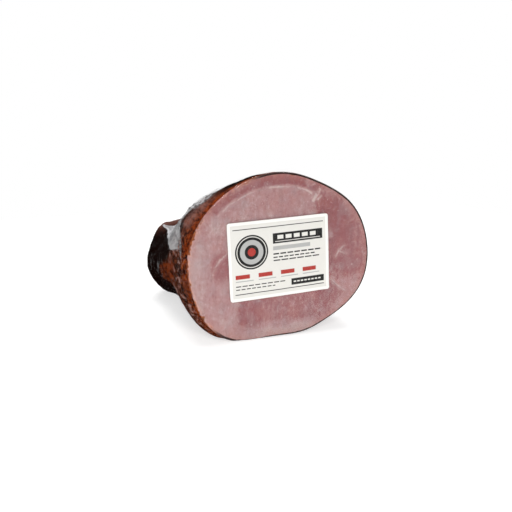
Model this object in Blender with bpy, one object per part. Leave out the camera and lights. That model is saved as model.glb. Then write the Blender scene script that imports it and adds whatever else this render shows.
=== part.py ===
"""Bone-in ham, shank half, sealed in a clear shrink bag, with a paper label on its cut face.

The leg lies on its side on a table. The big cut face looks along -Y, the leg narrows and bends
to the left (-X) behind it, and ends in the sawn hock. The origin is on the table, under the
middle of the pack. Blender units are metres; the constants are millimetres times MM.
"""

import math

import bmesh
import bpy
import numpy as np

MM = 0.001

# Cut face: its outline is a circle with a few waves round it, {waves: (cosine, sine)} in mm.
FACE_RADIUS = 93.6 * MM
FACE_WAVES = {
    2: (7.3, 2.1), 3: (2.1, -2.1), 4: (-0.7, -0.2), 5: (0.2, 1.0), 6: (0, -0.8), 7: (-0.6, -0.2),
}
FACE_MIDDLE = (4.8 * MM, 82.7 * MM)
FACE_CROWN = 2.0 * MM  # how far the middle of the face stands proud of its rim
RIM_ROUNDING = 3.0 * MM

# Leg behind the face: (distance behind the face, sideways or upward place) in mm.
LEG_LENGTH = 233
LEFT_SIDE = (
    (0, -93.5), (8, -95), (30, -96), (60, -95), (120, -94.5), (180, -95.5), (215, -96.5), (233, -89),
)
RIGHT_SIDE = (
    (0, 106.5), (8, 108), (30, 108), (60, 97), (90, 78), (120, 50), (150, 20), (180, -5), (215, -25),
    (233, -28),
)
TOP_SIDE = (
    (0, 171.6), (8, 170.6), (30, 166), (60, 152), (90, 138), (120, 123), (150, 109), (180, 100),
    (215, 91), (233, 90),
)
UNDERSIDE = ((0, 0), (100, 0), (130, 4.5), (155, 5), (180, 4.5), (215, 4), (233, 5))
OVAL_TO_HOCK = (22, 105)  # over this stretch the face's outline turns into the hock's
HOCK_FULLNESS = 1.8  # exponent of the hock's outline; 2 is an ellipse
BEND = (90, 210, math.radians(33))  # the leg turns to the left between these distances

# Bulges: direction round the leg and width in degrees, then where they start, are full, wane and
# end behind the face, and height, in mm.
SAGGING_SIDE = (222, 31, (0, 22, 45, 105), 4.0)
TABLE_SIDE = (325, 36, (-12, 6, 40, 90), 2.1)
SHOULDER = (134, 40, (0, 30, 60, 95), 1.2)
FILM_TENT = (147, 18, (6, 32, 48, 112), 6.0)  # the bag bridges the hollow between shoulder and hock
HEEL = (188, 22, (150, 195, 240, 260), 1.6)
HOCK_HOLLOW = (148, 22, (150, 195, 240, 260), -1.4)
BULGES = (SAGGING_SIDE, TABLE_SIDE, SHOULDER, FILM_TENT, HEEL, HOCK_HOLLOW)

# Skin folds ring the leg where it narrows to the hock.
FOLD_SPACING = 10.5 * MM
FOLD_HEIGHT = 0.9 * MM
FOLD_STRETCH = (70, 95, 150, 185)  # they fade in, stay and fade out, mm behind the face
WANDER = ((2, 0.35, 0.6), (5, 0.2, 0))  # waves round the leg, share of the spacing, phase

# Crease of the film, from the hock's top end forward and down to the leg's left side.
CREASE_START = (200, 108)  # mm behind the face, degrees round the leg
CREASE_END = (70, 172)
CREASE_HEIGHT = 2.2 * MM
CREASE_WIDTH = 9  # degrees

# Sawn hock end, with the end of the shank bone under the film.
END_ROUNDING = 18  # mm
END_FLAT = 0.52  # share of the hock's width that the flat end takes up
BONE_PROUD = 1.6 * MM
BONE_RINGS = ((0.8, 0), (0.7, 1), (0.35, 1))  # share of the flat end's width, share of how proud it is

# Where the soft leg lies on the table it is pressed flat.
PRESSED_DEPTH = 2.0 * MM
PRESSED_REACH = 14 * MM

# Label.
LABEL_SIZE = (109 * MM, 80 * MM)
LABEL_MIDDLE = (2.9 * MM, 84.6 * MM)
LABEL_TILT = math.radians(-2.4)  # its right end is higher
LABEL_CORNER = 2.5 * MM
LABEL_THICKNESS = 0.35 * MM
LABEL_GAP = 0.3 * MM
LABEL_CELLS = (12, 9)

COLUMNS = 84  # points round the leg
FACE_RINGS = (0.22, 0.45, 0.68, 0.86)
RIM_STEPS = 3
RING_SPACING = 8.0  # mm along the smooth stretch
FOLD_RING_SPACING = 3.5  # mm where the skin folds lie
END_STEPS = 5

ANGLES = np.linspace(0, 2 * math.pi, COLUMNS, endpoint=False)


def clear_scene():
    for obj in list(bpy.data.objects):
        bpy.data.objects.remove(obj)


def fade(value, start, end):
    """0 before start, 1 after end, and a smooth step between them."""
    share = np.clip((value - start) / (end - start), 0, 1)
    return share * share * (3 - 2 * share)


def profile(keys, distance):
    """A smooth curve through the keys, with the slope at each key taken from its neighbours."""
    places, values = np.array(keys, float).T
    slopes = np.gradient(values, places)
    i = int(np.clip(np.searchsorted(places, distance, side="right") - 1, 0, len(places) - 2))
    gap = places[i + 1] - places[i]
    t = (distance - places[i]) / gap
    return (
        (2 * t**3 - 3 * t**2 + 1) * values[i]
        + (t**3 - 2 * t**2 + t) * gap * slopes[i]
        + (3 * t**2 - 2 * t**3) * values[i + 1]
        + (t**3 - t**2) * gap * slopes[i + 1]
    )


def face_outline():
    """The cut face's outline as sideways and upward places, one for each of the leg's columns."""
    radius = np.full(COLUMNS, FACE_RADIUS)
    for waves, (cosine, sine) in FACE_WAVES.items():
        radius += (cosine * np.cos(waves * ANGLES) + sine * np.sin(waves * ANGLES)) * MM
    return np.stack([FACE_MIDDLE[0] + radius * np.cos(ANGLES), FACE_MIDDLE[1] + radius * np.sin(ANGLES)], 1)


def to_unit_box(outline):
    """The outline moved and stretched to run from -1 to 1 both ways."""
    low, high = outline.min(0), outline.max(0)
    return (outline - (low + high) / 2) / ((high - low) / 2)


def hock_outline():
    """A superellipse from -1 to 1 both ways."""
    sideways, upward = np.cos(ANGLES), np.sin(ANGLES)
    reach = (np.abs(sideways) ** HOCK_FULLNESS + np.abs(upward) ** HOCK_FULLNESS) ** (-1 / HOCK_FULLNESS)
    return np.stack([reach * sideways, reach * upward], 1)


def degrees_from(direction):
    """How far each column lies from a direction round the leg, in degrees, from -180 to 180."""
    return (np.degrees(ANGLES) - direction + 180) % 360 - 180


def relief(distance):
    """How far each point of a ring stands out from the plain form, by bulges, folds and crease."""
    height = np.zeros(COLUMNS)
    for direction, width, (start, full, waning, gone), top in BULGES:
        along = fade(distance, start, full) * (1 - fade(distance, waning, gone))
        height += top * MM * along * np.exp(-((degrees_from(direction) / width) ** 2))
    first, full, waning, gone = FOLD_STRETCH
    strength = fade(distance, first, full) * (1 - fade(distance, waning, gone))
    wander = sum(share * np.sin(waves * ANGLES + phase) for waves, share, phase in WANDER)
    height += FOLD_HEIGHT * strength * np.sin(2 * math.pi * (distance * MM / FOLD_SPACING + wander))
    along_crease = (distance - CREASE_START[0]) / (CREASE_END[0] - CREASE_START[0])
    if 0 < along_crease < 1:
        direction = CREASE_START[1] + along_crease * (CREASE_END[1] - CREASE_START[1])
        across_crease = np.exp(-((degrees_from(direction) / CREASE_WIDTH) ** 2))
        height += CREASE_HEIGHT * math.sin(math.pi * along_crease) * across_crease
    return height


def leg_ring(distance, share=1.0):
    """One ring of the leg in world space. share shrinks it about its middle."""
    sides = (LEFT_SIDE, RIGHT_SIDE, TOP_SIDE, UNDERSIDE)
    left, right, top, bottom = (profile(keys, distance) * MM for keys in sides)
    to_hock = fade(distance, *OVAL_TO_HOCK)
    unit = (1 - to_hock) * to_unit_box(face_outline()) + to_hock * hock_outline()
    height = relief(distance)
    sideways = share * ((right - left) / 2 * unit[:, 0] + height * np.cos(ANGLES))
    upward = share * ((top - bottom) / 2 * unit[:, 1] + height * np.sin(ANGLES))
    turn = BEND[2] * fade(distance, BEND[0], BEND[1])
    return np.stack(
        [
            (left + right) / 2 + sideways * math.cos(turn),
            distance * MM + sideways * math.sin(turn),
            (top + bottom) / 2 + upward,
        ],
        1,
    )


def face_depth(sideways, upward):
    """Y of the crowned cut face: most proud in the middle, level with its rim at the outline."""
    reach = np.hypot(sideways - FACE_MIDDLE[0], upward - FACE_MIDDLE[1]) / FACE_RADIUS
    return -FACE_CROWN * (1 - np.minimum(reach, 1) ** 2)


def face_rings():
    """Rings on the cut face, from its middle outwards, and the rounded rim that meets the leg."""
    outline = leg_ring(RIM_ROUNDING / MM)[:, [0, 2]]
    middle = np.array(FACE_MIDDLE)
    for share in FACE_RINGS:
        flat = middle + share * (outline - middle)
        yield np.stack([flat[:, 0], face_depth(flat[:, 0], flat[:, 1]), flat[:, 1]], 1)
    for step in range(RIM_STEPS):
        angle = math.pi / 2 * step / RIM_STEPS
        share = 1 - RIM_ROUNDING * (1 - math.sin(angle)) / FACE_RADIUS
        flat = middle + share * (outline - middle)
        depth = RIM_ROUNDING * (1 - math.cos(angle))
        yield np.stack([flat[:, 0], face_depth(flat[:, 0], flat[:, 1]) + depth, flat[:, 1]], 1)


def leg_rings():
    """Rings down the leg, closer together where the skin folds lie, as far as the rounded end."""
    distance = RIM_ROUNDING / MM
    while distance < LEG_LENGTH - END_ROUNDING:
        yield leg_ring(distance)
        in_folds = FOLD_STRETCH[0] < distance < FOLD_STRETCH[3]
        distance += FOLD_RING_SPACING if in_folds else RING_SPACING


def end_rings():
    """The hock's rounded end, its flat sawn face and the proud end of the bone."""
    for step in range(END_STEPS + 1):
        angle = math.pi / 2 * step / END_STEPS
        distance = LEG_LENGTH - END_ROUNDING * (1 - math.sin(angle))
        yield leg_ring(distance, END_FLAT + (1 - END_FLAT) * math.cos(angle))
    flat = leg_ring(LEG_LENGTH, END_FLAT)
    middle = flat.mean(0)
    outward = np.array([-math.sin(BEND[2]), math.cos(BEND[2]), 0])
    for share, proud in BONE_RINGS:
        yield middle + share * (flat - middle) + proud * BONE_PROUD * outward


def pressed(points):
    """Flattens what lies on the table: points near it go down to it, and none goes through."""
    lowered = points[:, 2] - PRESSED_DEPTH * (1 - fade(points[:, 2], 0, PRESSED_REACH))
    return np.column_stack([points[:, :2], np.maximum(lowered, 0)])


def pack_rings():
    return [pressed(ring) for ring in (*face_rings(), *leg_rings(), *end_rings())]


def closed_mesh(name, rings):
    """A closed skin over the rings, with a fan of triangles over the first and the last."""
    bm = bmesh.new()
    rows = [[bm.verts.new(point) for point in ring] for ring in rings]
    for near, far in zip(rows, rows[1:]):
        for i in range(COLUMNS):
            j = (i + 1) % COLUMNS
            bm.faces.new((near[i], near[j], far[j], far[i]))
    for row, ring in ((rows[0], rings[0]), (rows[-1], rings[-1])):
        hub = bm.verts.new(ring.mean(0))
        for i in range(COLUMNS):
            bm.faces.new((row[(i + 1) % COLUMNS], row[i], hub))
    bmesh.ops.recalc_face_normals(bm, faces=bm.faces)
    mesh = bpy.data.meshes.new(name)
    bm.to_mesh(mesh)
    bm.free()
    return mesh


def material(name, colour, roughness):
    made = bpy.data.materials.new(name)
    made.use_nodes = True
    shader = made.node_tree.nodes["Principled BSDF"]
    shader.inputs["Base Color"].default_value = (*colour, 1)
    shader.inputs["Roughness"].default_value = roughness
    shader.inputs["Metallic"].default_value = 0
    return made


def add_object(name, mesh, finish, parent):
    obj = bpy.data.objects.new(name, mesh)
    bpy.context.scene.collection.objects.link(obj)
    mesh.materials.append(finish)
    obj.parent = parent
    return obj


def make_ham(parent, rings):
    """The film-wrapped leg, all in one closed body."""
    rind = material("smoked_rind", (0.16, 0.035, 0.012), 0.35)
    ham = add_object("ham_in_film", closed_mesh("ham_in_film", rings), rind, parent)
    ham.data.shade_smooth()
    ham.data.materials.append(material("cut_meat", (0.42, 0.20, 0.20), 0.3))
    for polygon in ham.data.polygons:
        if polygon.center.y < RIM_ROUNDING / 2 and polygon.normal.y < -0.5:
            polygon.material_index = 1


def make_label(parent):
    """The paper label: a plate with rounded corners, bent to the crown of the cut face."""
    bm = bmesh.new()
    bmesh.ops.create_grid(bm, x_segments=LABEL_CELLS[0], y_segments=LABEL_CELLS[1], size=0.5)
    for vert in bm.verts:
        vert.co = (vert.co.x * LABEL_SIZE[0], 0, vert.co.y * LABEL_SIZE[1])
    corners = [vert for vert in bm.verts if len(vert.link_faces) == 1]
    bmesh.ops.bevel(bm, geom=corners, offset=LABEL_CORNER, segments=4, profile=0.5, affect="VERTICES")
    cos_tilt, sin_tilt = math.cos(LABEL_TILT), math.sin(LABEL_TILT)
    base = float(face_depth(*LABEL_MIDDLE))
    for vert in bm.verts:
        sideways = LABEL_MIDDLE[0] + vert.co.x * cos_tilt + vert.co.z * sin_tilt
        upward = LABEL_MIDDLE[1] - vert.co.x * sin_tilt + vert.co.z * cos_tilt
        vert.co.y = float(face_depth(sideways, upward)) - base
    bmesh.ops.recalc_face_normals(bm, faces=bm.faces)
    if sum(face.normal.y for face in bm.faces) > 0:
        bmesh.ops.reverse_faces(bm, faces=bm.faces)
    mesh = bpy.data.meshes.new("label")
    bm.to_mesh(mesh)
    bm.free()
    label = add_object("label", mesh, material("label_paper", (0.82, 0.81, 0.78), 0.5), parent)
    label.location = (LABEL_MIDDLE[0], base - LABEL_GAP, LABEL_MIDDLE[1])
    label.rotation_euler = (0, LABEL_TILT, 0)
    paper = label.modifiers.new("thickness", "SOLIDIFY")
    paper.thickness = LABEL_THICKNESS
    paper.offset = 1


def main():
    clear_scene()
    rings = pack_rings()
    points = np.concatenate(rings)
    low, high = points.min(0), points.max(0)
    front = low[1] - LABEL_GAP - LABEL_THICKNESS
    pack = bpy.data.objects.new("ham_pack", None)
    bpy.context.scene.collection.objects.link(pack)
    pack.location = (-(low[0] + high[0]) / 2, -(front + high[1]) / 2, 0)
    make_ham(pack, rings)
    make_label(pack)


main()
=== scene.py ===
import math

import bpy
import numpy as np
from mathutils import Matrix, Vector


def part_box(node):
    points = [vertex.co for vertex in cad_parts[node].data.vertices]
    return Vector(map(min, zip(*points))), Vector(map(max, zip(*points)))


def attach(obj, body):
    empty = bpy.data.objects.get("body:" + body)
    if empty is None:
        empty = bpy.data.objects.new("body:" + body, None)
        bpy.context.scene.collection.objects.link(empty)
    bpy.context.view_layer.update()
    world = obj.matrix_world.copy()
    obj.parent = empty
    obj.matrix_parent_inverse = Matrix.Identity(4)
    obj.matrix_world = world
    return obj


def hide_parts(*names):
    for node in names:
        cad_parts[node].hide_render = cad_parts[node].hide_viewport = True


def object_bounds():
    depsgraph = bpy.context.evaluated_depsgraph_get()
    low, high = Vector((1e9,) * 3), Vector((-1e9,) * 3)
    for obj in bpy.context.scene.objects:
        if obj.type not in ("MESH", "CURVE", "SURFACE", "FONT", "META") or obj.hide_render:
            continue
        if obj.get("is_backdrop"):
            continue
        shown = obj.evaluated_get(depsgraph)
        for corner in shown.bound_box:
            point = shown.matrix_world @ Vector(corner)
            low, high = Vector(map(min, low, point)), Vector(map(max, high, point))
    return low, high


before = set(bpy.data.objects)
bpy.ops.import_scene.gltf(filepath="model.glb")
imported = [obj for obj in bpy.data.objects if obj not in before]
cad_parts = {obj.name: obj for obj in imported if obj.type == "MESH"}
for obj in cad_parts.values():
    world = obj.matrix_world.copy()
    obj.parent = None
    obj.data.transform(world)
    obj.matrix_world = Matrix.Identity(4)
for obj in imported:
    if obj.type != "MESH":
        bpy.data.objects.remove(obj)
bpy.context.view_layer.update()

# The view. A long lens looks at the cut face from the front left and a little above the table.
# The ham's own frame starts on the table, in the plane of the cut face's rim.
CROWN = 0.002  # how far the middle of the cut face stands proud of its rim
VIEW_TURN = math.radians(-21)
VIEW_RISE = math.radians(12.5)
VIEW_DISTANCE = 0.70
VIEW_LENS = 49.2  # mm
SENSOR_WIDTH = 36  # mm
VIEW_LEFT = -0.0283  # the point of the rim's plane that the lens looks at
VIEW_HEIGHT = 0.0876

ham_low, ham_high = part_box("ham_in_film")
rim_plane = ham_low.y + CROWN
camera_data = bpy.data.cameras.new("camera")
camera_data.lens = VIEW_LENS
camera_data.sensor_width = SENSOR_WIDTH
camera_data.clip_start = 0.01
camera = bpy.data.objects.new("camera", camera_data)
camera.location = (
    VIEW_LEFT + VIEW_DISTANCE * math.sin(VIEW_TURN) * math.cos(VIEW_RISE),
    rim_plane - VIEW_DISTANCE * math.cos(VIEW_TURN) * math.cos(VIEW_RISE),
    VIEW_HEIGHT + VIEW_DISTANCE * math.sin(VIEW_RISE),
)
camera.rotation_euler = (math.pi / 2 - VIEW_RISE, 0, VIEW_TURN)
bpy.context.scene.collection.objects.link(camera)
bpy.context.scene.camera = camera


# The studio. Three soft boxes light the ham: a broad one in front, a broad one above, and a
# narrow one on the left that draws the glare on the film. The room is pale.
SOFT_BOXES = {
    # name: (where it hangs, size across and up in metres, watts)
    "key": ((-0.40, -1.30, 0.95), (0.55, 0.40), 10),
    "overhead": ((0.10, 0.15, 1.25), (1.3, 0.35), 19),
    "side": ((-1.1, -0.35, 0.55), (0.08, 0.7), 0.8),
}
AIM_BEHIND_RIM = 0.08  # all three point at the ham's middle
AIM_HEIGHT = 0.08
ROOM_SEEN = 1.0  # brightness of the pale room behind the table
ROOM_LIGHT = 0.25  # what the room adds to the light on the ham

for name, (where, (across, up), watts) in SOFT_BOXES.items():
    box_data = bpy.data.lights.new(name, "AREA")
    box_data.shape = "RECTANGLE"
    box_data.size = across
    box_data.size_y = up
    box_data.energy = watts
    box = bpy.data.objects.new(name, box_data)
    box.location = where
    toward = Vector((0, rim_plane + AIM_BEHIND_RIM, AIM_HEIGHT)) - box.location
    box.rotation_euler = toward.to_track_quat("-Z", "Y").to_euler()
    bpy.context.scene.collection.objects.link(box)

room = bpy.data.worlds.new("room")
room.use_nodes = True
room_nodes = room.node_tree.nodes
room_links = room.node_tree.links
seen = room_nodes.new("ShaderNodeBackground")
seen.inputs["Color"].default_value = (1, 1, 1, 1)
seen.inputs["Strength"].default_value = ROOM_SEEN
lighting = room_nodes["Background"]
lighting.inputs["Color"].default_value = (1, 1, 1, 1)
lighting.inputs["Strength"].default_value = ROOM_LIGHT
ray = room_nodes.new("ShaderNodeLightPath")
either = room_nodes.new("ShaderNodeMixShader")
room_links.new(ray.outputs["Is Camera Ray"], either.inputs[0])
room_links.new(lighting.outputs[0], either.inputs[1])
room_links.new(seen.outputs[0], either.inputs[2])
room_links.new(either.outputs[0], room_nodes["World Output"].inputs["Surface"])
bpy.context.scene.world = room
bpy.context.scene.view_settings.view_transform = "Standard"


# The table: a translucent white board, lit from below so that shadows on it stay faint. It is the
# first surface with a finish, so the wire class that every finish is written with stands here too.
TABLE_HALF = 0.75
TABLE_GLOW = 0.66
TABLE_WHITE = (0.55, 0.55, 0.545, 1)
TABLE_WHITER = (0.58, 0.58, 0.575, 1)
TABLE_CLOUD = 0.05  # metres from one cloud of the whiter colour to the next


class Wire:
    """One output of a shader node. Arithmetic on wires adds Math nodes, and add() any other node."""

    def __init__(self, tree, socket):
        self.tree = tree
        self.socket = socket

    def add(self, kind, settings, inputs, output=0):
        """A new node of this kind, with its settings, then its inputs by name or number."""
        node = self.tree.nodes.new(kind)
        for name, value in settings.items():
            setattr(node, name, value)
        for name, value in inputs.items():
            if isinstance(value, Wire):
                self.tree.links.new(value.socket, node.inputs[name])
            else:
                node.inputs[name].default_value = value
        return Wire(self.tree, node.outputs[output])

    def math(self, operation, *others):
        return self.add("ShaderNodeMath", {"operation": operation}, dict(enumerate((self, *others))))

    def __add__(self, other):
        return self.math("ADD", other)

    def __sub__(self, other):
        return self.math("SUBTRACT", other)

    def __rsub__(self, other):
        return self.math("MULTIPLY", -1).math("ADD", other)

    def __mul__(self, other):
        return self.math("MULTIPLY", other)

    def __truediv__(self, other):
        return self.math("DIVIDE", other)

    def __pow__(self, other):
        return self.math("POWER", other)

    __radd__ = __add__
    __rmul__ = __mul__

    def least(self, other):
        return self.math("MINIMUM", other)

    def rise(self, low, high):
        """0 below low, 1 above high, and a smooth step between them. low may be the larger one."""
        return self.add(
            "ShaderNodeMapRange", {"interpolation_type": "SMOOTHSTEP"},
            {"Value": self, "From Min": low, "From Max": high, "To Min": 0.0, "To Max": 1.0},
        )

    def between(self, first, second):
        """A colour that goes from first to second as this wire goes from 0 to 1."""
        return self.add("ShaderNodeMix", {"data_type": "RGBA"}, {0: self, 6: first, 7: second}, 2)

    def feeds(self, node, name):
        self.tree.links.new(self.socket, node.inputs[name])


class Finish:
    """A material with one Principled shader, and the wires that its patterns start from."""

    def __init__(self, name, **sockets):
        self.material = bpy.data.materials.new(name)
        self.material.use_nodes = True
        self.tree = self.material.node_tree
        self.shader = self.tree.nodes["Principled BSDF"]
        self.start = Wire(self.tree, None)
        self.place = self.start.add("ShaderNodeTexCoord", {}, {}, "Object")
        for name, value in sockets.items():
            self.shader.inputs[name.replace("_", " ")].default_value = value

    def grain(self, size, detail=2.0, roughness=0.5, stretch=(1, 1, 1), shift=(0, 0, 0)):
        """Noise from 0 to 1, about 0.5, whose lumps are about this size in metres."""
        where = self.start.add(
            "ShaderNodeMapping", {}, {"Vector": self.place, "Scale": stretch, "Location": shift}
        )
        return self.start.add(
            "ShaderNodeTexNoise", {},
            {"Vector": where, "Scale": 1 / size, "Detail": detail, "Roughness": roughness}, "Fac",
        )

    def attribute(self, name):
        """What the mesh holds at each point under this name."""
        return self.start.add("ShaderNodeAttribute", {"attribute_name": name}, {}, "Fac")

    def bump(self, height, depth):
        """Relief in the shading, this deep in metres where height goes from 0 to 1."""
        relief = self.start.add(
            "ShaderNodeBump", {}, {"Height": height, "Distance": depth, "Strength": 1.0}
        )
        relief.feeds(self.shader, "Normal")
        return relief


def shade(red, green, blue):
    """A colour as a screen shows it, from 0 to 255, turned into light."""
    screen = np.array((red, green, blue)) / 255
    light = np.where(screen <= 0.04045, screen / 12.92, ((screen + 0.055) / 1.055) ** 2.4)
    return (*light.tolist(), 1.0)


def make_grid(name, points, closed_rows, closed_ends, materials):
    """A mesh from a grid of points in metres, rows first. closed_rows joins each row's end to its
    start, and closed_ends puts a fan over the first and last rows, round their middles."""
    rows, columns = points.shape[:2]
    index = np.arange(rows * columns).reshape(rows, columns)
    if closed_rows:
        index = np.concatenate([index, index[:, :1]], 1)
    quads = np.stack([index[:-1, :-1], index[:-1, 1:], index[1:, 1:], index[1:, :-1]], -1).reshape(-1, 4)
    corners = quads.ravel()
    sizes = np.full(len(quads), 4)
    vertices = points.reshape(-1, 3)
    if closed_ends:
        hubs = rows * columns + np.arange(2)
        first = np.stack([index[0, 1:], index[0, :-1], np.full(columns, hubs[0])], -1)
        last = np.stack([index[-1, :-1], index[-1, 1:], np.full(columns, hubs[1])], -1)
        corners = np.concatenate([corners, first.ravel(), last.ravel()])
        sizes = np.concatenate([sizes, np.full(2 * columns, 3)])
        vertices = np.concatenate([vertices, points[0].mean(0)[None], points[-1].mean(0)[None]])
    mesh = bpy.data.meshes.new(name)
    mesh.vertices.add(len(vertices))
    mesh.vertices.foreach_set("co", vertices.astype(np.float32).ravel())
    mesh.loops.add(len(corners))
    mesh.loops.foreach_set("vertex_index", corners.astype(np.int32))
    mesh.polygons.add(len(sizes))
    mesh.polygons.foreach_set("loop_start", (np.cumsum(sizes) - sizes).astype(np.int32))
    mesh.update(calc_edges=True)
    mesh.validate()
    mesh.shade_smooth()
    for material in materials:
        mesh.materials.append(material)
    piece = bpy.data.objects.new(name, mesh)
    bpy.context.scene.collection.objects.link(piece)
    return piece


white_board = Finish(
    "white_board", Roughness=0.7, Specular_IOR_Level=0.2, Emission_Color=(1, 1, 1, 1),
    Emission_Strength=TABLE_GLOW,
)
clouded = white_board.grain(TABLE_CLOUD, 3.0).between(TABLE_WHITE, TABLE_WHITER)
clouded.feeds(white_board.shader, "Base Color")
steps = np.linspace(-TABLE_HALF, TABLE_HALF, 5)
board_x, board_y = np.meshgrid(steps, steps)
board_points = np.stack([board_x, board_y, np.zeros_like(board_x)], -1)
board = make_grid(
    "board", board_points, closed_rows=False, closed_ends=False, materials=[white_board.material]
)
board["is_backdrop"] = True


# The ham: the shank half of a leg, brined, smoked and sawn across. Pink meat in several muscles
# shows on the cut face, inside a line of fat, and a tough brown rind wraps the leg to the hock.
# Its form follows the sealed pack's, in millimetres from the cut face's rim, less the film.
FACE_RADIUS = 93.6
FACE_MIDDLE = np.array([4.8, 82.7])
RIM_ROUNDING = 3.0
LEG_LENGTH = 233
# The face's outline is a circle with waves round it: how many, then their cosine and sine parts.
FACE_WAVES = {
    2: (7.3, 2.1), 3: (2.1, -2.1), 4: (-0.7, -0.2), 5: (0.2, 1.0), 6: (0, -0.8), 7: (-0.6, -0.2),
}
# The leg's four sides: the distance behind the rim, then the place across or up.
LEFT_SIDE = (
    (0, -93.5), (8, -95), (30, -96), (60, -95), (120, -94.5), (180, -95.5), (215, -96.5), (233, -89),
)
RIGHT_SIDE = (
    (0, 106.5), (8, 108), (30, 108), (60, 97), (90, 78), (120, 50), (150, 20), (180, -5),
    (215, -25), (233, -28),
)
TOP_SIDE = (
    (0, 171.6), (8, 170.6), (30, 166), (60, 152), (90, 138), (120, 123), (150, 109), (180, 100),
    (215, 91), (233, 90),
)
UNDERSIDE = ((0, 0), (100, 0), (130, 4.5), (155, 5), (180, 4.5), (215, 4), (233, 5))
OVAL_TO_HOCK = (22, 105)  # where the section goes from the face's outline to the hock's
HOCK_FULLNESS = 1.8  # 2 is an ellipse, and less is nearer to a diamond
BEND_STRETCH = (90, 210)
BEND_TURN = math.radians(33)
# Bulges: direction and width in degrees round the leg, where 0 is the right side and 90 the top;
# the distances behind the rim where each starts, is full, wanes and is gone; and its height.
SAGGING_SIDE = (222, 31, (0, 22, 45, 105), 4.0)
TABLE_SIDE = (325, 36, (-12, 6, 40, 90), 2.1)
SHOULDER = (134, 40, (0, 30, 60, 95), 1.2)
HEEL = (188, 22, (150, 195, 240, 260), 1.6)
HOCK_HOLLOW = (148, 22, (150, 195, 240, 260), -1.4)
LEG_BULGES = (SAGGING_SIDE, TABLE_SIDE, SHOULDER, HEEL, HOCK_HOLLOW)
UNDER_TENT = (147, 18, (6, 32, 48, 112), 4.8)
FOLD_SPACING = 10.5
FOLD_HEIGHT = 0.9
FOLD_STRETCH = (70, 95, 150, 185)
FOLD_WANDER = ((0.35, 2, 0.6), (0.2, 5, 0))  # share of the spacing, waves round the leg, their start
END_ROUNDING = 18
END_FLAT = 0.52  # the flat end's share of the hock's section
END_DISTANCE = 20  # the distance counted from the flat end's edge to its middle
BONE_PROUD = 1.6
BONE_EDGE = (0.68, 0.8)  # the bone's edge falls between these shares of the flat end
PRESSED_DEPTH = 2.0
PRESSED_REACH = 14.0
FILM_GAP = 0.8  # the ham lies this far inside the film's outer surface
GROOVE_DEPTH = 0.35  # of a seam in the cut face

HAM_COLUMNS = 400
FACE_ROWS = 62
RIM_ROWS = 6
LEG_ROWS = 128
END_ROWS = 22
CAP_ROWS = 14
FACE_CROWDING = 0.8  # under 1, the face's rows lie closer toward its rim
FACE_HUB = 0.004  # shares of the radius that are left to the fans in the two ends' middles
END_HUB = 0.02

# The rind's own relief.
BROAD_LUMPS = 0.30
SMALL_LUMPS = 0.16
PIT_DEPTH = 0.22
NECK_CREASES = 0.45
DRUM_RADIUS = 90  # of the drum that ripples see in place of the leg
WAVES_IN_A_SIZE = (0.6, 1.5)  # the least and the most that ripples draws
RIPPLE_PEAK = 1.6  # in spreads of the sum of waves


def fade(value, start, end):
    """0 before start, 1 after end, and 3t^2 - 2t^3 between them."""
    share = np.clip((value - start) / (end - start), 0, 1)
    return share * share * (3 - 2 * share)


def span(value, start, full, waning, gone):
    """A fade in from start to full, times a fade out from waning to gone."""
    return fade(value, start, full) * (1 - fade(value, waning, gone))


def bell(distance, width):
    """e^-(distance / width)^2: 1 in the middle, and about a third at the width."""
    return np.exp(-((distance / width) ** 2))


def profile(keys, distance):
    """Cubic pieces through the keys; each key's slope is a mean of the slopes on its two sides, in
    which the nearer neighbour counts for more."""
    places, values = np.array(keys, float).T
    slopes = np.gradient(values, places)
    i = np.clip(np.searchsorted(places, distance, side="right") - 1, 0, len(places) - 2)
    gap = places[i + 1] - places[i]
    t = (distance - places[i]) / gap
    return (
        (2 * t**3 - 3 * t**2 + 1) * values[i]
        + (t**3 - 2 * t**2 + t) * gap * slopes[i]
        + (3 * t**2 - 2 * t**3) * values[i + 1]
        + (t**3 - t**2) * gap * slopes[i + 1]
    )


def held_profile(keys, distance):
    """The profile, kept level before its first key and after its last one."""
    return profile(keys, np.clip(distance, keys[0][0], keys[-1][0]))


def hump(around, direction, width):
    """A bell over the angle round the leg; the direction and the width are in degrees."""
    return bell((np.degrees(around) - direction + 180) % 360 - 180, width)


def swell(around, along, bulges):
    """The sum of the bulges: each is a bell round the leg times a rise and a fall along it."""
    height = np.zeros(np.broadcast_shapes(around.shape, along.shape))
    for direction, width, stretch, top in bulges:
        height = height + top * span(along, *stretch) * hump(around, direction, width)
    return height


def folds(around, along):
    """Skin folds round the neck of the leg: a sine along it whose phase wanders round it."""
    wander = sum(share * np.sin(waves * around + start) for share, waves, start in FOLD_WANDER)
    phase = 2 * math.pi * (along / FOLD_SPACING + wander)
    return FOLD_HEIGHT * span(along, *FOLD_STRETCH) * np.sin(phase)


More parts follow.
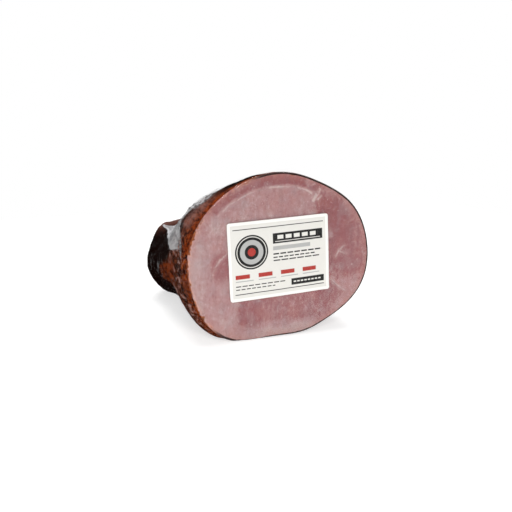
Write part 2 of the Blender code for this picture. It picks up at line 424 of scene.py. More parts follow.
def leg(around, along, relief, share=1.0):
    """A point of the leg. Its section is an outline from -1 to 1 both ways, which goes from the cut
    face's wavy circle to the hock's superellipse, stretched between the four side profiles at that
    distance, swollen by the relief, and turned about the upright line where the leg bends."""
    radius = FACE_RADIUS + sum(
        cosine * np.cos(waves * around) + sine * np.sin(waves * around)
        for waves, (cosine, sine) in FACE_WAVES.items()
    )
    wide, tall = radius * np.cos(around), radius * np.sin(around)
    wide = 2 * (wide - wide.min()) / np.ptp(wide) - 1
    tall = 2 * (tall - tall.min()) / np.ptp(tall) - 1
    powers = np.abs(np.cos(around)) ** HOCK_FULLNESS + np.abs(np.sin(around)) ** HOCK_FULLNESS
    reach = powers ** (-1 / HOCK_FULLNESS)
    to_hock = fade(along, *OVAL_TO_HOCK)
    wide = (1 - to_hock) * wide + to_hock * reach * np.cos(around)
    tall = (1 - to_hock) * tall + to_hock * reach * np.sin(around)
    left, right = profile(LEFT_SIDE, along), profile(RIGHT_SIDE, along)
    top, bottom = profile(TOP_SIDE, along), profile(UNDERSIDE, along)
    sideways = share * ((right - left) / 2 * wide + relief * np.cos(around))
    upward = share * ((top - bottom) / 2 * tall + relief * np.sin(around))
    turn = BEND_TURN * fade(along, *BEND_STRETCH)
    return np.stack(
        [
            (left + right) / 2 + sideways * np.cos(turn),
            along + sideways * np.sin(turn),
            (top + bottom) / 2 + upward,
        ],
        -1,
    )


def leg_grid(columns, face_rows, rim_rows, leg_rows, end_rows, cap_rows, bulges, texture):
    """The whole skin as a grid: cut face, rounded rim, leg, rounded end and flat end, with the angle
    round the leg and the signed distance behind the rim, in mm, that belong to each point."""
    around = np.linspace(2 * math.pi, 0, columns, endpoint=False)[None, :]

    def section(along, share=1.0):
        relief = swell(around, along, bulges) + folds(around, along) + texture(around, along)
        return leg(around, along, relief, share)

    rim = section(np.array([[RIM_ROUNDING]]))[0][:, [0, 2]]
    inside = 1 - RIM_ROUNDING / FACE_RADIUS
    share = inside * np.linspace(FACE_HUB, 1, face_rows)[:, None] ** FACE_CROWDING
    corner = np.linspace(0, math.pi / 2, rim_rows, endpoint=False)[:, None]
    share = np.concatenate([share, inside + (1 - inside) * np.sin(corner[1:])])
    back = np.concatenate([np.zeros((face_rows, 1)), RIM_ROUNDING * (1 - np.cos(corner[1:]))])
    flat = FACE_MIDDLE + share[..., None] * (rim - FACE_MIDDLE)
    off_middle = np.minimum(np.hypot(*(flat - FACE_MIDDLE).transpose(2, 0, 1)) / FACE_RADIUS, 1)
    face = np.stack([flat[..., 0], back - 1000 * CROWN * (1 - off_middle**2), flat[..., 1]], -1)
    face_along = -(1 - share) * FACE_RADIUS + back

    along = np.linspace(RIM_ROUNDING, LEG_LENGTH - END_ROUNDING, leg_rows, endpoint=False)[:, None]
    shaft = section(along)
    corner = np.linspace(0, math.pi / 2, end_rows)[:, None]
    end_along = LEG_LENGTH - END_ROUNDING * (1 - np.sin(corner))
    end = section(end_along, END_FLAT + (1 - END_FLAT) * np.cos(corner))
    middle = end[-1].mean(0)
    shrink = np.linspace(1, END_HUB, cap_rows + 1)[1:, None, None]
    outward = np.array([-math.sin(BEND_TURN), math.cos(BEND_TURN), 0])
    cap = middle + shrink * (end[-1] - middle) + BONE_PROUD * (1 - fade(shrink, *BONE_EDGE)) * outward
    cap_along = LEG_LENGTH + END_DISTANCE * (1 - shrink[..., 0])

    points = np.concatenate([face, shaft, end, cap])
    low = points[..., 2] - PRESSED_DEPTH * (1 - fade(points[..., 2], 0, PRESSED_REACH))
    points[..., 2] = np.maximum(low, 0)
    distance = np.concatenate([face_along, along, end_along, cap_along])
    return points, np.broadcast_to(around, points.shape[:2]), np.broadcast_to(distance, points.shape[:2])


def outward_of(points):
    """Unit normals of a grid that closes round its rows: the cross product of its two directions."""
    down = np.gradient(points, axis=0)
    wrapped = np.concatenate([points[:, -1:], points, points[:, :1]], 1)
    round_it = (wrapped[:, 2:] - wrapped[:, :-2]) / 2
    normal = np.cross(round_it, down)
    return normal / np.maximum(np.linalg.norm(normal, axis=2, keepdims=True), 1e-9)


def ripples(x, y, z, size, seed, count=24):
    """Smooth noise about 0, mostly from -1 to 1: a sum of plane waves of about this length, in
    directions and phases drawn from the seed."""
    draw = np.random.default_rng(seed)
    total = 0
    for _ in range(count):
        direction = draw.normal(size=3)
        direction *= draw.uniform(*WAVES_IN_A_SIZE) / np.linalg.norm(direction) * 2 * math.pi / size
        phase = draw.uniform(0, 2 * math.pi)
        total = total + np.sin(x * direction[0] + y * direction[1] + z * direction[2] + phase)
    return total * math.sqrt(2 / count) / RIPPLE_PEAK


def winding(places, size, seed, width):
    """Thin winding lines, 1 on them and 0 between them: they run where the ripples cross 0."""
    return fade(np.abs(ripples(*places, size, seed)), width, 0.0)


def round_leg(around, along, slender=1.0):
    """Places for ripples on the leg, as if it were a drum; slender stretches them along it."""
    return DRUM_RADIUS * np.cos(around), DRUM_RADIUS * np.sin(around), along / slender


def leather(around, along):
    """The rind's own relief, in mm: lumps, pits between them, and creases round the neck."""
    on_leg = round_leg(around, along)
    lumps = BROAD_LUMPS * ripples(*on_leg, 22, 1) + SMALL_LUMPS * ripples(*on_leg, 9, 2)
    pits = PIT_DEPTH * winding(on_leg, 7, 3, 0.35)
    creases = NECK_CREASES * winding(round_leg(around, along, 0.35), 26, 4, 0.30)
    return (lumps - pits - creases * span(along, 18, 60, 195, 225)) * fade(along, 1, 12)


def to_line(x, z, line):
    """The distance from each point to the nearest of a line's straight pieces."""
    nearest = np.full(x.shape, np.inf)
    for (ax, az), (bx, bz) in zip(line, line[1:]):
        share = ((x - ax) * (bx - ax) + (z - az) * (bz - az)) / ((bx - ax) ** 2 + (bz - az) ** 2)
        share = np.clip(share, 0, 1)
        nearest = np.minimum(nearest, np.hypot(x - ax - share * (bx - ax), z - az - share * (bz - az)))
    return nearest


def patch(x, z, middle_x, middle_z, half_x, half_z):
    """A soft round patch: 1 in its middle, fading to 0 a little outside its half sizes."""
    return 1 - fade(np.hypot((x - middle_x) / half_x, (z - middle_z) / half_z), 0.35, 1.25)


def patches(x, z, spots):
    """The sum of soft patches, each with its strength, its middle across and up, and its half sizes."""
    return sum(strength * patch(x, z, *spot) for strength, *spot in spots)


ham_points, ham_around, ham_along = leg_grid(
    HAM_COLUMNS, FACE_ROWS, RIM_ROWS, LEG_ROWS, END_ROWS, CAP_ROWS, (*LEG_BULGES, UNDER_TENT), leather
)
ham_outward = outward_of(ham_points)
face_x, face_z = ham_points[..., 0], ham_points[..., 2]
on_face = ham_along < 0

# Fat seams between the muscles, as bent lines on the cut face, in mm across and up.
CAP_SEAM = (
    (-62, 129), (-50, 140), (-34, 148.5), (-20, 153.5), (-2, 156), (20, 155), (32, 151.5), (38, 148),
)
FORK = ((47.5, 151), (43.5, 145.5), (40, 140.5))
FORK_BRANCH = ((49, 144.5), (45.5, 141.5))
SIDE_SEAM = ((67, 80), (71, 86), (77, 91))
SIDE_BRANCH = ((71, 87), (74, 84), (80, 82))
RED_SEAM = ((-46, 95), (-53, 92), (-60, 86), (-65, 79), (-68, 71))
LOWER_SEAM = ((-42, 37), (-45, 30), (-51, 22), (-57, 14))
BELLY_SEAM = ((63, 56), (70, 49), (80, 42))
SEAMS = (CAP_SEAM, FORK_BRANCH, SIDE_SEAM, SIDE_BRANCH, RED_SEAM, BELLY_SEAM)

# The distance from a seam. The lower seam is fainter than the rest, and the fork is broader.
seam = np.minimum.reduce([to_line(face_x, face_z, line) for line in SEAMS])
seam = np.minimum(seam, 1.2 + 0.7 * to_line(face_x, face_z, LOWER_SEAM))
seam = np.minimum(seam, to_line(face_x, face_z, FORK) - 0.8)

# Where the meat is lighter, more than 0, or darker, less than 0. One dark patch, just right of the
# label's right edge, is the label's painted shadow.
LIGHT_PATCHES = (
    (0.30, -18, 136, 20, 14), (0.10, 12, 146, 22, 8), (0.45, -60, 120, 14, 12), (0.40, -40, 128, 12, 8),
    (0.35, -53, 20, 14, 14), (0.35, 76, 46, 7, 5), (1.10, 61, 104, 6, 7), (0.85, 27, 8, 18, 9),
    (0.40, -16, 7, 8, 7), (0.95, 39, 126, 7, 6), (0.45, -6, 22, 8, 12), (0.55, 37, 159, 8, 6),
    (0.55, 80, 136, 9, 12),
)
DARK_PATCHES_AND_LABEL_SHADOW = (
    (0.30, -6, 163, 36, 7), (0.95, 72, 110, 9, 30), (0.40, 39, 137, 6, 7), (0.55, 62, 81, 7, 8),
    (0.35, 66, 33, 8, 6), (0.55, 52, 133, 11, 12), (0.20, 60, 92, 8, 12), (0.25, 72, 82, 6, 6),
    (0.60, -29, 26, 16, 14), (0.40, -37, 34, 7, 8), (0.85, 67, 44, 19, 10), (0.25, -66, 62, 7, 26),
    (0.65, 70, 117, 7, 8), (0.50, -60, 82, 7, 6), (0.30, -10, 160, 20, 7), (0.45, -38, 149, 8, 6),
    # (0.55, 60.5, 87, 4, 14) is the painted shadow along the label's right edge.
    (0.55, 60.5, 87, 4, 14), (0.30, -38, 22, 9, 14),
)
RED_PATCHES = (
    (1.45, -58, 79, 13, 18), (0.25, -62, 144, 12, 8), (0.3, -30, 24, 16, 14), (0.3, 84, 92, 12, 26),
    (0.5, -61, 83, 6, 6), (0.4, 70, 116, 7, 10),
)
above_cap = fade(face_z - held_profile(CAP_SEAM, face_x), 0, 5) * span(face_x, -88, -70, 42, 54)
right_muscle = fade(face_x, 38, 52) * fade(face_z, 52, 66)
under_label = span(face_x, -45, -35, 52, 74) * span(face_z, 11, 22, 46, 56)
to_rim = fade(ham_along, -15, -2)
tone = (
    0.12
    - 1.30 * above_cap * (1 - 0.35 * to_rim)
    - 1.05 * right_muscle * (1 - 0.5 * to_rim)
    - 0.80 * under_label
    + 0.35 * (1 - fade(face_z, 4, 15)) * fade(face_x, -70, -40)
    + 0.95 * (1 - fade(face_z, 3, 13)) * fade(face_x, -24, -8)
    + 0.62 * (1 - fade(face_x, -86, -66)) * (1 - above_cap)
    + patches(face_x, face_z, LIGHT_PATCHES)
    - patches(face_x, face_z, DARK_PATCHES_AND_LABEL_SHADOW)
)
red = patches(face_x, face_z, RED_PATCHES)

# Where the rind is darkened, partly by the smoke and partly by painted shade on the hock's left side
# and underneath; and the lit brown patch low on the leg's left side, which is painted light.
turn_degrees = np.degrees(ham_around)
painted_light_patch = patch(turn_degrees - 0.08 * (ham_along - 95), ham_along, 190, 93, 14, 58)
low_smoke = fade(ham_along, 52, 88) * np.minimum(1, 1.35 * hump(ham_around, 190, 70))
smoke = np.maximum.reduce([
    low_smoke * (1 - 0.95 * painted_light_patch),
    0.85 * fade(ham_along, 120, 205) * (1 - hump(ham_around, 85, 38)),
    0.55 * fade(ham_along, 0, 30) * hump(ham_around, 270, 40),
    0.9 * span(ham_along, 5, 11, 60, 110) * hump(ham_around, 112, 20),
])
# Where it is ruddy behind the rim, mauve by the tent, dry along its top, speckled, and streaked at the
# neck, where the pale streaks are painted glints of the film; and how thick the fat is under it, and
# where its edge shows as a dark line.
ruddy = (1 - 0.85 * fade(ham_along, 8, 16)) * hump(ham_around, 175, 75)
mauve = 0.80 * patch(turn_degrees, ham_along, 145, 23, 17, 14)
dry = 0.95 * span(ham_along, 120, 160, 212, 226) * hump(ham_around, 96, 19)
speckled = 0.35 + 0.6 * (1 - fade(ham_along, 30, 60)) * hump(ham_around, 175, 62)
streaked = fade(ham_along + 7 * fade(turn_degrees, 190, 212), 11, 19) * (1 - fade(ham_along, 62, 84))
streaked = streaked * span(turn_degrees, 150, 172, 215, 245)
fat_depth = 0.10 + 0.75 * hump(ham_around, 190, 38) + 0.35 * hump(ham_around, 95, 40)
skin_line = 1 - span(turn_degrees, 102, 116, 220, 232)

groove = GROOVE_DEPTH * on_face * fade(seam, 1.8, 0.2)
ham_points = ham_points - (FILM_GAP + groove)[..., None] * ham_outward

# The film's plain form has the sealed pack's size, which gives the ham's place on the table.
FILM_TENT = (147, 18, (6, 32, 48, 112), 6.0)
FILM_BULGES = (*LEG_BULGES, FILM_TENT)
plain, _, _ = leg_grid(
    columns=84, face_rows=8, rim_rows=4, leg_rows=50, end_rows=8, cap_rows=4,
    bulges=FILM_BULGES, texture=lambda around, along: 0 * around,
)
sideways_shift = (ham_low.x + ham_high.x) / 2 - (plain[..., 0].min() + plain[..., 0].max()) / 2000
place = np.array([sideways_shift, rim_plane, 0])


def hold(piece, **kept):
    """Keeps numbers for each point of the piece's grid, which its finish can read by name."""
    for name, values in kept.items():
        spare = len(piece.data.vertices) - values.size
        ends = np.array([values[0].mean(), values[-1].mean()])[:spare]
        held = piece.data.attributes.new(name, "FLOAT", "POINT")
        held.data.foreach_set("value", np.concatenate([values.ravel(), ends]).astype(np.float32))


def layered(colour, layers):
    """The colour under its layers. Each is a pattern, the two values between which it comes in, how
    strong it gets, and its own colour."""
    for pattern, low, high, strength, over in layers:
        colour = (pattern.rise(low, high) * strength).between(colour, over)
    return colour


SKIN_EDGE = shade(40, 14, 9)

cut_meat = Finish(
    "cut_meat", Roughness=0.42, Specular_IOR_Level=0.1, Subsurface_Weight=0.2,
    Subsurface_Radius=(1.0, 0.35, 0.25), Subsurface_Scale=0.004,
)
clouds = cut_meat.grain(0.018, 3.0, shift=(3, 0, 0)) - 0.5
mottle = cut_meat.grain(0.0065, 4.0, 0.66, shift=(0, 0, 2)) - 0.5
fibres = cut_meat.grain(0.0026, 3.0, 0.65, stretch=(1, 1, 0.65)) - 0.5
drips = cut_meat.grain(0.0034, 3.0, 0.6, stretch=(1, 1, 0.15), shift=(6, 0, 0)) - 0.5
specks_and_glints = cut_meat.grain(0.0019, 1.5, shift=(0, 5, 0))
warmth = cut_meat.grain(0.012, 3.0, shift=(0, 8, 1))
rim_break = cut_meat.grain(0.006, 3.0, 0.6, shift=(0, 0, 4)) - 0.5
meat_tone = cut_meat.attribute("tone") + clouds * 1.3 + mottle * 1.6 + fibres * 1.7 + drips * 1.1
redness = cut_meat.attribute("red") + mottle * 0.8
seam_edge = cut_meat.attribute("seam") + mottle * 4.5 + fibres * 2.0
broken_seam = (mottle + clouds).rise(-0.16, 0.10) * 0.5
behind_rim = cut_meat.attribute("along")
near_rim = behind_rim + rim_break * 9
fat = cut_meat.attribute("fat")
broken_fat = fat * (rim_break + mottle + 0.5).rise(0.34, 0.58)
crust = behind_rim + rim_break * 16 + fibres * 4
crust_brown = (fibres + 0.5).rise(0.3, 0.7).between(shade(84, 36, 16), shade(170, 92, 44))
darkest_meat = shade(152, 94, 96)
middle_meat = shade(176, 133, 133)
meat = layered(meat_tone.rise(-1.1, 0.1).between(darkest_meat, middle_meat), (
    (meat_tone, 0.0, 1.1, 1, shade(189, 158, 156)),  # the palest muscle
    (warmth, 0.50, 0.68, 0.22, shade(182, 124, 116)),  # warmer and cooler clouds
    (warmth, 0.48, 0.32, 0.25, shade(170, 148, 150)),
    (redness, 0.1, 1.2, 0.8, shade(150, 84, 87)),  # the red muscle
    (seam_edge, 4.5, 0.0, 0.22, shade(202, 172, 168)),  # a seam's pale sides, and its fat
    (seam_edge, 1.5, 0.2, broken_seam, shade(224, 204, 199)),
    (fibres, 0.04, 0.28, 0.18, shade(222, 200, 196)),  # pale and dark fibres
    (fibres, -0.04, -0.28, 0.26, shade(112, 72, 74)),
    (specks_and_glints, 0.66, 0.78, 0.45, shade(226, 204, 200)),  # pale specks, partly fat and partly painted glints of the film, and dark specks of blood
    (specks_and_glints, 0.33, 0.24, 0.35, shade(112, 62, 62)),
    (near_rim, -11, -3, 0.22, shade(184, 122, 108)),  # meat that the smoke has warmed
    (near_rim, -3.8, -2.6, broken_fat, shade(218, 166, 148)),  # the fat line
    (crust, -2.1, -1.2, fat.rise(0.2, 0.6), crust_brown),  # the browned edge
    (behind_rim + rim_break * 2, -3.4, -2.4, cut_meat.attribute("skin"), SKIN_EDGE),
))
meat.feeds(cut_meat.shader, "Base Color")
cut_meat.bump(fibres * 0.6 + mottle * 0.8 + seam_edge.rise(0.0, 1.6) * 0.4, 0.0006)

smoked_rind = Finish("smoked_rind", Specular_IOR_Level=0.0)
blots = smoked_rind.grain(0.010, 4.0, 0.6)
pores = smoked_rind.grain(0.0042, 3.0, 0.62, shift=(7, 0, 0))
grit = smoked_rind.grain(0.0018, 2.0, 0.6, shift=(0, 7, 0))
streaks = smoked_rind.grain(0.0034, 3.0, 0.66, stretch=(0.8, 0.35, 0.55), shift=(0, 3, 0))
rays = smoked_rind.grain(0.0036, 3.0, 0.62, stretch=(0.3, 0.3, 1), shift=(0, 3, 4))
swells = smoked_rind.grain(0.040, 2.0, shift=(0, 0, 6))
speckle = smoked_rind.attribute("speckle")
at_neck = smoked_rind.attribute("neck")
darkest_brown = shade(52, 21, 13)
middle_brown = shade(100, 48, 29)
rind = (blots * 0.7 + swells * 0.3).rise(0.38, 0.62).between(darkest_brown, middle_brown)
rind = layered(rind, (
    (blots, 0.30, 0.52, smoked_rind.attribute("ruddy"), shade(126, 48, 12)),
    (pores, 0.54, 0.42, speckle * 0.9, shade(26, 9, 5)),  # dark and pale pores
    (pores, 0.57, 0.67, speckle * 0.55, shade(172, 88, 38)),
    (grit, 0.46, 0.36, speckle * 0.7, shade(18, 6, 4)),  # dark and pale grit
    (grit, 0.60, 0.70, speckle * 0.45, shade(180, 112, 72)),
    (streaks, 0.53, 0.43, at_neck * 0.8, shade(28, 10, 6)),  # dark streaks, and pale streaks that are painted glints of the film
    (streaks, 0.54, 0.62, at_neck * 0.65, shade(164, 126, 118)),
))
mauve_now = smoked_rind.attribute("mauve") * (streaks.rise(0.34, 0.58) + 0.30)
rind = mauve_now.between(rind, shade(128, 84, 74))
# Painted light: a lighter, streaked brown patch low on the hock's left side.
lit = smoked_rind.attribute("lit") + (pores - 0.5) * 0.9 + (rays - 0.5) * 0.7
lit_brown = rays.rise(0.42, 0.60).between(shade(30, 9, 4), shade(114, 47, 17))
# Near-black over the smoked rind, partly painted shade on the hock's sides and underside.
smoked = smoked_rind.attribute("smoke") + (blots - 0.5) * 0.9 + (pores - 0.5) * 0.5
rind = layered(rind, (
    (lit, 0.25, 0.75, 1, lit_brown),
    (smoked, 0.10, 0.75, 0.98, shade(9, 2, 1)),
))
dried_now = (smoked_rind.attribute("dry") * (0.35 + pores)).least(1)
rind = dried_now.between(rind, shade(100, 70, 64))
to_end = smoked_rind.attribute("along")
into_end = to_end + (pores - 0.5) * 3.0 + (blots - 0.5) * 6.0
dried = (blots * 0.5 + grit * 0.5).rise(0.36, 0.62).between(shade(58, 26, 21), shade(128, 74, 62))
bone = (grit * 0.6 + pores * 0.4).rise(0.34, 0.66).between(shade(142, 112, 84), shade(198, 178, 152))
marrow = grit.rise(0.3, 0.7).between(shade(66, 32, 25), shade(128, 84, 66))
rind = layered(rind, (
    (to_end, 3.0, 0.6, smoked_rind.attribute("skin"), SKIN_EDGE),
    (into_end, 229, 231.5, 1, dried),  # the sawn end: dried meat, then bone, then marrow
    (into_end, 238.4, 239.2, 1, bone),
    (into_end, 244.0, 246.0, 1, marrow),
))
rind.feeds(smoked_rind.shader, "Base Color")
(0.62 - pores * 0.3).feeds(smoked_rind.shader, "Roughness")
smoked_rind.bump(blots * 0.6 + pores * 0.8, 0.0007)

ham = make_grid(
    "ham", ham_points / 1000 + place, closed_rows=True, closed_ends=True,
    materials=[cut_meat.material, smoked_rind.material],
)
first_rind_row = FACE_ROWS + RIM_ROWS // 2
is_rind = np.repeat(np.arange(len(ham_points) - 1) >= first_rind_row, HAM_COLUMNS)
is_rind = np.concatenate([is_rind, np.zeros(HAM_COLUMNS), np.ones(HAM_COLUMNS)])
ham.data.polygons.foreach_set("material_index", is_rind.astype(np.int32))
hold(
    ham, tone=tone, red=red, seam=np.minimum(seam, 12), along=ham_along, fat=fat_depth,
    skin=skin_line, smoke=smoke, ruddy=ruddy, neck=streaked, dry=dry, speckle=speckled,
    lit=painted_light_patch, mauve=mauve,
)
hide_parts("ham_in_film")
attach(ham, "root")


# The film: a clear bag, drawn tight by vacuum and shrunk on in hot water. It clings to the ham,
# stands off it as a tent between the shoulder and the hock, and gathers into creases there.
FILM_COLUMNS = 480
FILM_FACE_ROWS = 44
FILM_LEG_ROWS = 120
FILM_END_ROWS = 16
FILM_CAP_ROWS = 8
CREASE_HEIGHT = 1.6
CREASE_WIDTH = 3.5  # degrees
CREASE_STRETCH = (40, 206)
PLEAT_HEIGHT = 1.1
RING_HEIGHT = 0.55
SLACK_HEIGHT = 0.12
HANGING_HEIGHT = 0.10  # of the upright folds on the cut face, and of the swells there
SWELL_HEIGHT = 0.12
# Where the crease runs, and how wide the film lies doubled above it: mm behind the rim, degrees.
CREASE = (
    (20, 171.6), (46, 171.5), (56, 170.4), (63, 167.6), (72, 164), (84, 160), (98, 157), (118, 149),
    (140, 142), (158, 134), (172, 128), (190, 120), (205, 109),
)
FOLD_WIDTH = (
    (20, 12), (48, 20), (75, 15), (98, 12), (120, 13), (140, 14), (160, 10), (180, 7), (205, 4),
)
# Where the tight film ends behind the rim and a crumpled strip begins, and how wide the strip is:
# degrees round the leg, mm.
SLACK_EDGE = (
    (118, 20), (130, 20), (137, 19), (141, 20), (144, 22.5), (147, 25), (151, 30), (156, 35), (160, 29),
    (166, 20), (172, 15.5), (178, 10.5), (186, 8),
)
SLACK_WIDTH = (
    (118, 5), (137, 8), (141, 9), (144, 10), (147, 16), (151, 22), (156, 20), (160, 16), (166, 7),
    (172, 4), (178, 3), (186, 2),
)


def from_crease(around, along):
    """Degrees round the leg from the film's crease: less than 0 on its upper side."""
    return np.degrees(around) - held_profile(CREASE, along)


def crease(around, along):
    """The crease's strength from 0 to 1: a narrow bell across it, and along it the square root of
    half a sine."""
    start, end = CREASE_STRETCH
    share = np.clip((along - start) / (end - start), 0, 1)
    return np.sin(math.pi * share) ** 0.5 * bell(from_crease(around, along), CREASE_WIDTH)


def wrinkles(around, along):
    """The film's relief in mm: the crease, long pleats by the tent, small creases round the neck,
    where it has shrunk most, and a little slack all over the leg."""
    by_tent = hump(around, 145, 30) * span(along, 6, 22, 60, 110)
    pleats = winding(round_leg(around, along, 3.0), 16, 21, 0.34)
    rings = winding(round_leg(around, along, 0.45), 24, 22, 0.28)
    slack = ripples(*round_leg(around, along), 12, 23)
    return (
        CREASE_HEIGHT * crease(around, along)
        + PLEAT_HEIGHT * pleats * by_tent
        + RING_HEIGHT * rings * span(along, 12, 40, 205, 225)
        + SLACK_HEIGHT * slack * fade(along, 0, 10)
    )


film_points, film_around, film_along = leg_grid(
    FILM_COLUMNS, FILM_FACE_ROWS, RIM_ROWS, FILM_LEG_ROWS, FILM_END_ROWS, FILM_CAP_ROWS, FILM_BULGES,
    wrinkles,
)
film_outward = outward_of(film_points)
flat_x, flat_z = film_points[..., 0], film_points[..., 2]
hanging = HANGING_HEIGHT * ripples(flat_x, 0, flat_z / 5, 9, 24)
hangs = (hanging + SWELL_HEIGHT * ripples(flat_x, 0, flat_z, 26, 25)) * fade(film_along, -2, -14)
film_points = film_points + hangs[..., None] * film_outward
film_points[..., 2] = np.maximum(film_points[..., 2], 0)

# Where the film is doubled above the crease, with its glare painted on as milky film; painted highlight
# lines along the crease's edges; and the crumpled strip behind the rim, with a painted highlight line
# at its edge.
film_degrees = np.degrees(film_around)
below_crease = from_crease(film_around, film_along)
fold_width = held_profile(FOLD_WIDTH, film_along)
doubled_and_glare = (
    fade(below_crease, -fold_width - 1, -fold_width + 1) * fade(below_crease, 0.6, -0.6)
    * fade(film_along + 0.9 * (film_degrees - 163), 27, 33) * (1 - fade(film_along, 196, 206))
)
lower_fold_highlight = bell(below_crease + 1.2, 1.3) * fade(film_along, 58, 85)
upper_fold_highlight = bell(below_crease + fold_width - 1, 0.9) * fade(film_along, 105, 125)
painted_fold_highlights = (lower_fold_highlight + 0.6 * upper_fold_highlight) * (1 - fade(film_along, 200, 207))
past_edge = film_along - held_profile(SLACK_EDGE, film_degrees)
strip_share = past_edge / held_profile(SLACK_WIDTH, film_degrees)
on_left = span(film_degrees, 122, 136, 170, 182)
crumpled = (
    on_left * (1 - 0.6 * fade(film_degrees, 158, 168))
    * fade(past_edge, -0.6, 0.6) * (1 - fade(strip_share, 0.8, 1.2))
)
# A painted shade line just before the crumpled strip.
painted_shade_line = bell(past_edge + 0.9, 0.9) * on_left * (1 - fade(film_degrees, 154, 160))
painted_highlight_line = bell(past_edge, 0.7) * span(film_degrees, 155, 161, 168, 177)

# How milky the film is, from 0 to 1. On the fold and along its lines, the milky white is painted glare
# and painted highlight.
tent = hump(film_around, 141, 15) * span(film_along, 13, 25, 60, 105)
pleated = winding(round_leg(film_around, film_along, 4.0), 9, 31, 0.5)
ringed = winding(round_leg(film_around, film_along, 0.4), 15, 32, 0.35)
on_neck = span(film_along, 30, 70, 205, 225) * (1 - hump(film_around, 190, 50))
frayed = fade(ripples(0, film_points[..., 1], flat_z, 7, 36), -0.3, 0.6)
upright = fade(ripples(flat_x, 0, flat_z / 6, 8, 33), -0.2, 0.9)
level = fade(ripples(flat_x / 7, 0, flat_z, 6, 34), 0.3, 0.9)
near_label = patch(flat_x, flat_z, 2, 124, 60, 7) + patch(flat_x, flat_z, -20, 38, 50, 6)
face_left = patch(flat_x, flat_z, -85, 75, 16, 60)
veil = 0.02 + 0.05 * upright + 0.10 * level * near_label + 0.05 * face_left
haze = (
    0.002
    + 0.50 * painted_fold_highlights
    + tent * (0.05 + 0.14 * pleated)
    + crumpled * 0.72
    + painted_shade_line * 0.6
    + painted_highlight_line * (0.03 + 0.26 * frayed)
    + doubled_and_glare * (0.44 + 0.20 * pleated)
    + 0.010 * ringed * on_neck
    + veil * fade(film_along, 2, -6)
)

# How strongly it shines: plainly, and in streaks along its fine wrinkles.
sheen = 1 - 0.85 * fade(film_along, 8, 30) * np.minimum(1, 1.2 * hump(film_around, 200, 62))
sheen = sheen * (1 - 0.6 * fade(film_along, 110, 150) * hump(film_around, 150, 50))
under_hock = fade(film_along, 60, 110) * span(film_degrees, 185, 203, 235, 255)
over_hock = fade(film_along, 95, 130) * hump(film_around, 158, 40)
streaky = (0.8 * (1 - sheen) + 2.6 * over_hock) * (1 - 0.8 * under_hock)
round_rim = span(film_along, -6, -2, 12, 26) * (1 - hump(film_around, 135, 40))
sheen = sheen * (1 - 0.7 * under_hock) * (1 - 0.75 * round_rim)

clear_film = Finish("clear_film", Roughness=0.3)
creped = clear_film.grain(0.007, 2.0)
dimples = clear_film.grain(0.0025, 2.0, shift=(0, 0, 9))
creped_relief = clear_film.bump(creped * 0.8 + dimples * 0.25, 0.0007)
flecks = clear_film.grain(0.0020, 2.0, 0.6, shift=(4, 0, 0))
# Painted shade: the milky colour goes dark grey over the tent and along the shade line, mottled by the
# creping, with dark flecks in the crumpled strip.
shade_and_grime = clear_film.attribute("dull") * (creped.rise(0.62, 0.42) * 0.8 + 0.2)
shade_and_grime = (shade_and_grime + clear_film.attribute("crumpled") * flecks.rise(0.50, 0.38) * 0.65).least(1)
shade_and_grime.between(shade(192, 191, 193), shade(46, 38, 36)).feeds(clear_film.shader, "Base Color")
through = clear_film.start.add("ShaderNodeBsdfTransparent", {}, {"Color": (0.985, 0.985, 0.985, 1)})
gloss = clear_film.start.add(
    "ShaderNodeBsdfGlossy", {}, {"Color": (1, 1, 1, 1), "Roughness": 0.09, "Normal": creped_relief}
)
edge_on = clear_film.start.add("ShaderNodeLayerWeight", {}, {"Blend": 0.5}, "Facing")
fine_wrinkles = clear_film.grain(0.0036, 3.0, 0.6, stretch=(1, 1, 0.22), shift=(0, 6, 5))
in_streaks = clear_film.attribute("streaky") * fine_wrinkles.rise(0.54, 0.66)
mirror = (0.014 + edge_on**5 * 0.022) * (clear_film.attribute("sheen") + in_streaks)
clear = clear_film.start.add("ShaderNodeMixShader", {}, {0: mirror, 1: through, 2: gloss})
milky = Wire(clear_film.tree, clear_film.shader.outputs[0])
whole = clear_film.start.add(
    "ShaderNodeMixShader", {}, {0: clear_film.attribute("haze").least(0.9), 1: clear, 2: milky}
)
whole.feeds(clear_film.tree.nodes["Material Output"], "Surface")

film = make_grid(
    "film", film_points / 1000 + place, closed_rows=True, closed_ends=True,
    materials=[clear_film.material],
)
hold(
    film, haze=haze, dull=tent + 2 * painted_shade_line, crumpled=crumpled, sheen=sheen, streaky=streaky
)
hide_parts("ham_in_film")
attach(film, "root")


# The label: satin paper stuck on the film over the cut face, its corners rounded by the cutter.
# Its print is plain: a dark roundel, a headline bar, short lines, red tabs and a dark foot.
LABEL_SIZE = (109.0, 80.0)
LABEL_MIDDLE = (2.9, 84.6)
LABEL_TILT = math.radians(-2.4)
LABEL_CORNER = 2.5
LABEL_GAP = 0.3
LABEL_THICKNESS = 0.25
LABEL_GRID = (160, 120)
COCKLE_HEIGHT = 0.10
LIFTED_RIGHT = 1.0
LIFTED_BELOW = 0.9
PAPER = shade(232, 230, 224)
PAPER_RIM = shade(252, 250, 246)
PAPER_FIBRE = shade(206, 203, 196)
CHARCOAL = shade(12, 12, 13)
SOFT_GREY = shade(182, 182, 180)
BRICK = shade(176, 52, 44)
INK_EDGE = 0.12
# The print, in mm from the label's middle. Blocks: left, low, right, high, ink.
PRINTED_AREA = (-51.5, -37, 51.5, 37)
BLOCKS = (
    (-49, 32.2, 49, 33.0, CHARCOAL),
    (-49, -33.6, 49, -32.8, CHARCOAL),
    (-7, 15, 48, 25.5, CHARCOAL),
    (-4.6, 16.6, 45.6, 17.3, PAPER),
    (-7, 8.2, 34, 12.2, SOFT_GREY),
    (12, -30.4, 49, -23.6, CHARCOAL),
)
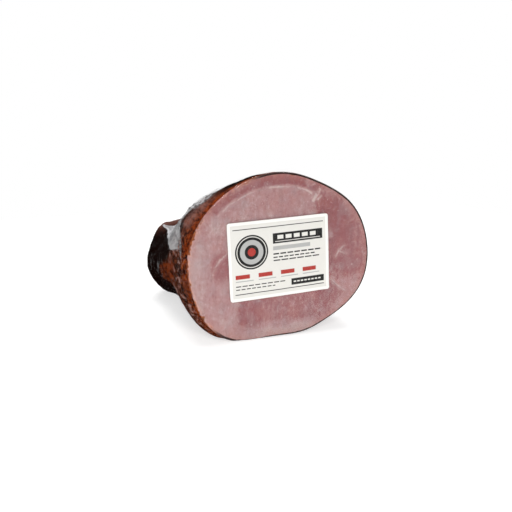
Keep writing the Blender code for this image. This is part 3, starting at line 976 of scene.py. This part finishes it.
# The roundel's rings: outer and inner radius, ink.
ROUNDEL_MIDDLE = (-30, 9)
RINGS = ((17.5, 0, CHARCOAL), (15.9, 15.1, PAPER), (12.4, 7.4, SOFT_GREY), (4.2, 0, BRICK))
# Rows of marks: left, low, right, high, one mark with its gap, the mark's share of that, ink.
ROWS_OF_MARKS = (
    (-2, 19.2, 43, 23.2, 9, 0.72, PAPER),
    (-7, 3.6, 47, 5.0, 7.7, 0.82, CHARCOAL),
    (-7, 0.2, 40, 1.4, 5.9, 0.78, CHARCOAL),
    (-7, -3.0, 45, -1.8, 8.7, 0.86, CHARCOAL),
    (-48, -17.5, 48, -13.2, 24.3, 0.62, BRICK),
    (-48, -20.4, 48, -19.4, 24.3, 0.78, SOFT_GREY),
    (14.5, -27.7, 46.5, -26.3, 4.0, 0.7, PAPER),
    (-48, -25.4, 6, -24.4, 6.8, 0.8, CHARCOAL),
    (-48, -28.6, -6, -27.6, 5.6, 0.76, CHARCOAL),
)

rows = LABEL_SIZE[1] / 2 * np.sin(np.linspace(-math.pi / 2, math.pi / 2, LABEL_GRID[1]))[:, None]
into_corner = np.maximum(np.abs(rows) - (LABEL_SIZE[1] / 2 - LABEL_CORNER), 0)
half_width = LABEL_SIZE[0] / 2 - LABEL_CORNER + np.sqrt(LABEL_CORNER**2 - into_corner**2)
print_x = half_width * np.linspace(-1, 1, LABEL_GRID[0])[None, :]
print_z = np.broadcast_to(rows, print_x.shape)
label_x = LABEL_MIDDLE[0] + print_x * math.cos(LABEL_TILT) + print_z * math.sin(LABEL_TILT)
label_z = LABEL_MIDDLE[1] - print_x * math.sin(LABEL_TILT) + print_z * math.cos(LABEL_TILT)
off_middle = np.hypot(label_x - FACE_MIDDLE[0], label_z - FACE_MIDDLE[1]) / FACE_RADIUS
cockle = COCKLE_HEIGHT * (1 + ripples(label_x, 0, label_z, 34, 41))
lifted = LIFTED_RIGHT * fade(print_x, 45, 54) + LIFTED_BELOW * fade(-print_z, 31, 40)
label_y = -1000 * CROWN * (1 - off_middle**2) - LABEL_GAP - cockle - lifted

paper = Finish("label_paper", Specular_IOR_Level=0.25)
across_print = paper.attribute("print_x")
up_print = paper.attribute("print_z")
fibre = paper.grain(0.0016, 3.0)


def above(wire, line):
    """1 where the wire is above the line, and 0 below it, with an ink's soft edge between."""
    return wire.rise(line - INK_EDGE, line + INK_EDGE)


def below(wire, line):
    """1 where the wire is below the line, and 0 above it, with an ink's soft edge between."""
    return wire.rise(line + INK_EDGE, line - INK_EDGE)


def block(left, low, right, high):
    """A printed rectangle, as a mask that is 1 inside it."""
    sides = above(across_print, left) * below(across_print, right)
    return sides * (above(up_print, low) * below(up_print, high))


def ring(outer, inner):
    """A printed ring round the roundel's middle, or a disc where inner is 0."""
    middle_x, middle_z = ROUNDEL_MIDDLE
    reach = ((across_print - middle_x) ** 2 + (up_print - middle_z) ** 2) ** 0.5
    return below(reach, outer) * above(reach, inner) if inner else below(reach, outer)


def marks(start, length, share):
    """Equal marks across the label: 1 over this share of each length, from the start."""
    place_in_row = ((across_print - start) / length).math("FRACT")
    return place_in_row.rise(share + 0.02, share - 0.02)


sheet = block(*PRINTED_AREA).between(PAPER_RIM, PAPER)
for *edges, ink in BLOCKS:
    sheet = block(*edges).between(sheet, ink)
for outer, inner, ink in RINGS:
    sheet = ring(outer, inner).between(sheet, ink)
for left, low, right, high, length, share, ink in ROWS_OF_MARKS:
    sheet = (block(left, low, right, high) * marks(left, length, share)).between(sheet, ink)
sheet = (fibre.rise(0.3, 0.7) * 0.035).between(sheet, PAPER_FIBRE)
sheet.feeds(paper.shader, "Base Color")
(0.36 + fibre * 0.14).feeds(paper.shader, "Roughness")
paper.bump(fibre, 0.00008)

label_points = np.stack([label_x, label_y, label_z], -1) / 1000 + place
label = make_grid(
    "label_sheet", label_points, closed_rows=False, closed_ends=False, materials=[paper.material]
)
hold(label, print_x=print_x, print_z=print_z)
stock = label.modifiers.new("stock", "SOLIDIFY")
stock.thickness = LABEL_THICKNESS / 1000
stock.offset = 1
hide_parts("label")
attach(label, "root")


low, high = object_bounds()
